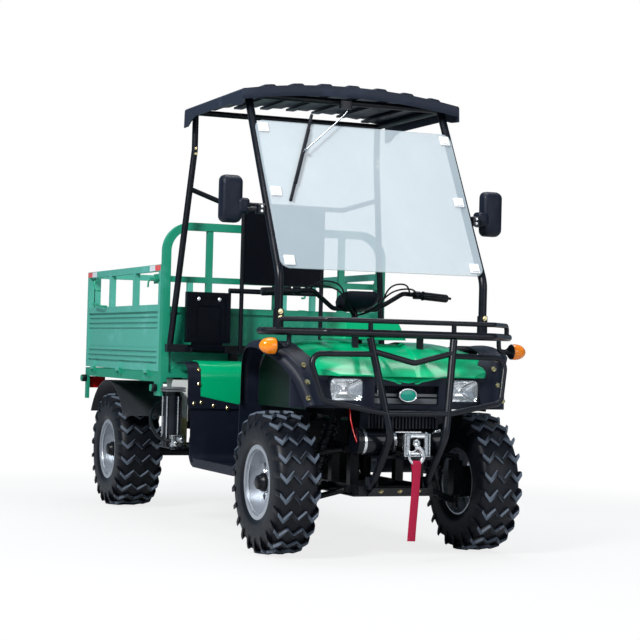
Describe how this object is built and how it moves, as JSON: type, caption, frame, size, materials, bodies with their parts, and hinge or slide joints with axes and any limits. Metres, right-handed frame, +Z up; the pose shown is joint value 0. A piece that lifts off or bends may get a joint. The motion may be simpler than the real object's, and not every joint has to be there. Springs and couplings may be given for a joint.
{
  "type": "electric utility quad bike with tipping cargo bed",
  "caption": "Electric utility quad bike: straddle seat and handlebar under a roofed cage with windscreen, front rack, bull bar and winch, and a tipping drop-side cargo bed.",
  "frame": {"origin": "on the ground at the centre of the vehicle's footprint", "axes": "+Z up, the vehicle faces -Y, its own left is +X"},
  "size_m": [1.416, 3.222, 2.16],
  "materials": {
    "tyre": "moulded rubber",
    "wheel_steel": "silver painted steel",
    "black_steel": "black powder coat",
    "dark_iron": "black chassis paint",
    "green_body": "gloss green moulding",
    "green_metal": "green sprayed sheet steel",
    "black_plastic": "moulded black plastic",
    "lamp_clear": "clear lamp lens",
    "lamp_amber": "amber lens",
    "lamp_red": "red lens",
    "screen": "clear plastic sheet",
    "seat_vinyl": "black vinyl",
    "zinc": "zinc plate",
    "strap_web": "red webbing",
    "reservoir": "milky plastic tank",
    "battery_case": "black battery case"
  },
  "bodies": {
    "chassis": {"chassis_frame": "dark_iron", "front_arms": "dark_iron", "front_shocks": "black_steel", "rear_axle": "dark_iron", "rear_springs": "dark_iron", "battery_pack": "battery_case", "skid_plate": "black_steel", "footwell_left": "black_plastic", "footwell_right": "black_plastic", "side_covers": "green_body", "rear_flares": "black_plastic", "front_fenders": "black_plastic", "arch_liners": "green_body", "hood": "green_body", "tank_cover": "green_body", "centre_body": "black_plastic", "seat": "seat_vinyl", "front_fascia": "black_plastic", "headlamps": "lamp_clear", "grille": "black_plastic", "front_rack": "black_steel", "bull_bar": "black_steel", "winch": "black_steel", "winch_controller": "black_steel", "winch_fairlead": "zinc", "winch_hook": "zinc", "winch_strap": "strap_web", "indicators": "lamp_amber", "front_cage": "black_steel", "rear_cage": "black_steel", "back_guard": "black_steel", "roof_panel": "black_plastic", "windscreen": "screen", "mirrors": "black_plastic", "oil_reservoir": "reservoir", "pump_unit": "black_steel", "rear_mudguards": "black_plastic"},
    "steering": {"handlebar": "black_steel", "instrument_pod": "black_plastic"},
    "knuckle_left": {"knuckle_left": "dark_iron"},
    "knuckle_right": {"knuckle_right": "dark_iron"},
    "jump_seat": {"jump_seat": "black_steel"},
    "bed": {"bed_deck": "green_metal", "headboard": "green_metal", "tail_lamps": "lamp_red"},
    "side_left": {"side_left": "green_metal"},
    "side_right": {"side_right": "green_metal"},
    "tailgate": {"tailgate": "green_metal"},
    "tilt_barrel": {"tilt_barrel": "black_steel"},
    "tilt_rod": {"tilt_rod": "zinc"},
    "wheel_fl": {"tyre_fl": "tyre", "rim_fl": "wheel_steel"},
    "wheel_fr": {"tyre_fr": "tyre", "rim_fr": "wheel_steel"},
    "wheel_rl": {"tyre_rl": "tyre", "rim_rl": "wheel_steel"},
    "wheel_rr": {"tyre_rr": "tyre", "rim_rr": "wheel_steel"}
  },
  "joints": [
    {"name": "steer", "type": "hinge", "parent": "chassis", "child": "steering", "pos_m": [0, -1.01, 0.65], "axis": [0, 0.2775, 0.9607], "range_deg": [-28, 28]},
    {"name": "bed_tip", "type": "hinge", "parent": "chassis", "child": "bed", "pos_m": [0, 1.48, 0.705], "axis": [-1, 0, 0], "range_deg": [0, 40]},
    {"name": "side_left_drop", "type": "hinge", "parent": "bed", "child": "side_left", "pos_m": [0.632, 0.85, 0.772], "axis": [0, 1, 0], "range_deg": [0, 165]},
    {"name": "side_right_drop", "type": "hinge", "parent": "bed", "child": "side_right", "pos_m": [-0.632, 0.85, 0.772], "axis": [0, -1, 0], "range_deg": [0, 165]},
    {"name": "tailgate_drop", "type": "hinge", "parent": "bed", "child": "tailgate", "pos_m": [0, 1.584, 0.772], "axis": [-1, 0, 0], "range_deg": [0, 90]},
    {"name": "jump_seat_fold", "type": "hinge", "parent": "chassis", "child": "jump_seat", "pos_m": [-0.407, 0.018, 0.889], "axis": [1, 0, 0], "range_deg": [0, 88]},
    {"name": "tilt_barrel_swing", "type": "hinge", "parent": "chassis", "child": "tilt_barrel", "pos_m": [0, 0.93, 0.455], "axis": [1, 0, 0], "range_deg": [0, 9.94]},
    {"name": "tilt_rod_slide", "type": "slide", "parent": "tilt_barrel", "child": "tilt_rod", "axis": [0, 0.7142, 0.6999], "range_m": [0, 0.1953]},
    {"name": "knuckle_left_turn", "type": "hinge", "parent": "chassis", "child": "knuckle_left", "pos_m": [0.4, -1.175, 0.3175], "axis": [0, 0, 1], "range_deg": [-29, 29]},
    {"name": "knuckle_right_turn", "type": "hinge", "parent": "chassis", "child": "knuckle_right", "pos_m": [-0.4, -1.175, 0.3175], "axis": [0, 0, 1], "range_deg": [-29, 29]},
    {"name": "wheel_fl_spin", "type": "hinge", "parent": "knuckle_left", "child": "wheel_fl", "pos_m": [0.489, -1.175, 0.3175], "axis": [1, 0, 0], "continuous": true},
    {"name": "wheel_fr_spin", "type": "hinge", "parent": "knuckle_right", "child": "wheel_fr", "pos_m": [-0.489, -1.175, 0.3175], "axis": [1, 0, 0], "continuous": true},
    {"name": "wheel_rl_spin", "type": "hinge", "parent": "chassis", "child": "wheel_rl", "pos_m": [0.476, 1.175, 0.3175], "axis": [1, 0, 0], "continuous": true},
    {"name": "wheel_rr_spin", "type": "hinge", "parent": "chassis", "child": "wheel_rr", "pos_m": [-0.476, 1.175, 0.3175], "axis": [1, 0, 0], "continuous": true}
  ],
  "couplings": [
    {"joint": "knuckle_left_turn", "follows": "steer", "ratio": 1},
    {"joint": "knuckle_right_turn", "follows": "steer", "ratio": 1},
    {"joint": "tilt_barrel_swing", "follows": "bed_tip", "ratio": 0.24371},
    {"joint": "tilt_rod_slide", "follows": "bed_tip", "m_per_rad": 0.27422}
  ]
}
